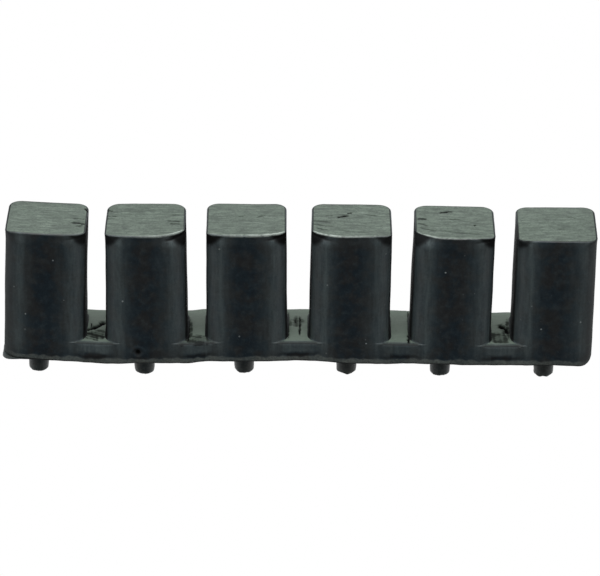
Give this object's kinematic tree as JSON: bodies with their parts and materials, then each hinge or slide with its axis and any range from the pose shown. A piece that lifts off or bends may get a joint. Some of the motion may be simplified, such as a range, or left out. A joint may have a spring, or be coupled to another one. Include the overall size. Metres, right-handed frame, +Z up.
{
  "type": "vibration dampener",
  "caption": "Soft rubber comb of upright blocks on a thin flexing strip with short studs under it; racket strings sit in the slots between the blocks.",
  "frame": {"origin": "centre of the strip in plan, level with the free ends of the studs", "axes": "+X along the strip, +Y from the front face to the rear face, +Z up from the studs to the block tops"},
  "size_m": [0.0608, 0.0072, 0.0174],
  "materials": {
    "black_rubber": "moulded, matt, with a dusty bloom on the faces that point up"
  },
  "bodies": {
    "segment_1": {"block_1": "black_rubber", "base_pad_1": "black_rubber", "stud_1": "black_rubber"},
    "segment_2": {"block_2": "black_rubber", "base_pad_2": "black_rubber", "stud_2": "black_rubber", "web_hinge_1": "black_rubber"},
    "segment_3": {"block_3": "black_rubber", "base_pad_3": "black_rubber", "stud_3": "black_rubber", "web_hinge_2": "black_rubber", "web_hinge_3": "black_rubber"},
    "segment_4": {"block_4": "black_rubber", "base_pad_4": "black_rubber", "stud_4": "black_rubber", "web_hinge_4": "black_rubber"},
    "segment_5": {"block_5": "black_rubber", "base_pad_5": "black_rubber", "stud_5": "black_rubber", "web_hinge_5": "black_rubber"},
    "segment_6": {"block_6": "black_rubber", "base_pad_6": "black_rubber", "stud_6": "black_rubber"}
  },
  "joints": [
    {"name": "web_bend_1", "type": "hinge", "parent": "segment_2", "child": "segment_1", "pos_m": [-0.021, 0, 0.00373], "axis": [0, -1, 0], "range_deg": [-5, 30], "stiffness_Nm_per_rad": 0.0166, "deforming": ["web_hinge_1"]},
    {"name": "web_bend_2", "type": "hinge", "parent": "segment_3", "child": "segment_2", "pos_m": [-0.0105, 0, 0.00373], "axis": [0, -1, 0], "range_deg": [-8, 30], "stiffness_Nm_per_rad": 0.0166, "deforming": ["web_hinge_2"]},
    {"name": "web_bend_3", "type": "hinge", "parent": "segment_3", "child": "segment_4", "pos_m": [0, 0, 0.00373], "axis": [0, 1, 0], "range_deg": [-8, 30], "stiffness_Nm_per_rad": 0.0166, "deforming": ["web_hinge_3"]},
    {"name": "web_bend_4", "type": "hinge", "parent": "segment_4", "child": "segment_5", "pos_m": [0.0105, 0, 0.00373], "axis": [0, 1, 0], "range_deg": [-8, 30], "stiffness_Nm_per_rad": 0.0166, "deforming": ["web_hinge_4"]},
    {"name": "web_bend_5", "type": "hinge", "parent": "segment_5", "child": "segment_6", "pos_m": [0.021, 0, 0.00373], "axis": [0, 1, 0], "range_deg": [-8, 30], "stiffness_Nm_per_rad": 0.0166, "deforming": ["web_hinge_5"]}
  ]
}
